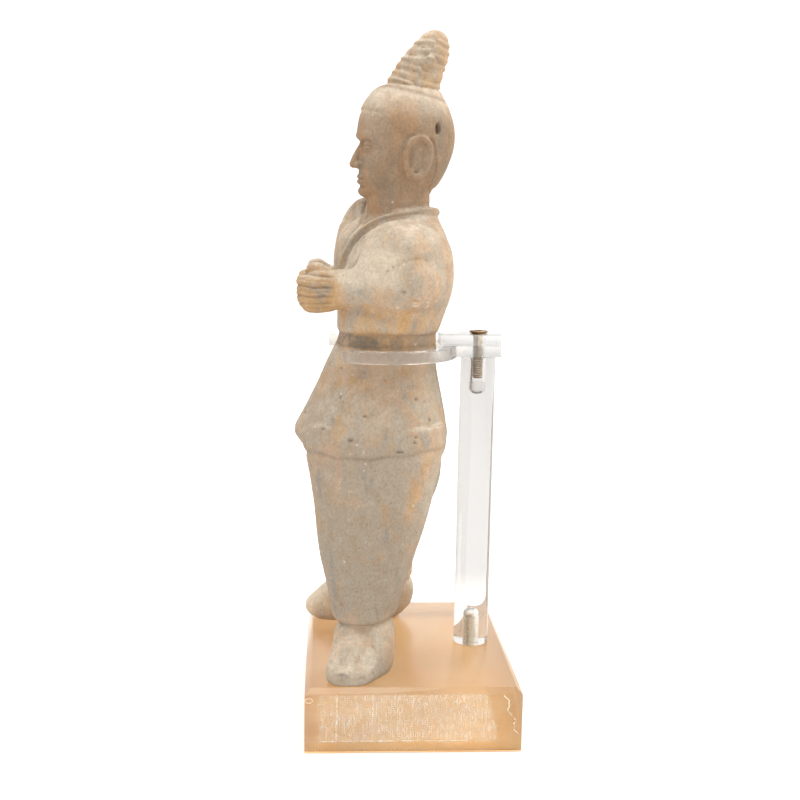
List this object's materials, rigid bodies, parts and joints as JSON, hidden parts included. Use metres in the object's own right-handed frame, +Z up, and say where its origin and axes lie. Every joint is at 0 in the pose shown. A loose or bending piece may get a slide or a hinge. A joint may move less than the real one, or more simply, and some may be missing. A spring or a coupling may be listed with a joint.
{
  "type": "terracotta warrior figure on a display stand",
  "caption": "Standing terracotta warrior with clenched fists, belted robe and ribbed topknot, held round the waist by a clear collar on a post and block.",
  "frame": {"origin": "middle of the stand's underside", "axes": "+Z up, the figure faces -Y, its left side and the longer ends of the block lie along X"},
  "size_m": [0.145, 0.1226, 0.3784],
  "materials": {
    "terracotta": "unglazed fired clay, matt, grey-tan with orange earth, pale dust and blue-grey stains, worn edges and small pits",
    "clear_acrylic": "clear cast acrylic with polished edges, fine scratches and a woven residue on one side of the block",
    "backing": "smooth matt tan backing sheet under the block",
    "bronzed_screw": "bronzed countersunk machine screw, worn on its rim",
    "plated_stud": "plated threaded stud"
  },
  "bodies": {
    "root": {"figure": "terracotta", "base_block": "clear_acrylic", "base_backing": "backing", "post": "clear_acrylic", "collar": "clear_acrylic", "collar_arm": "clear_acrylic", "top_screw": "bronzed_screw", "base_stud": "plated_stud"}
  },
  "joints": []
}
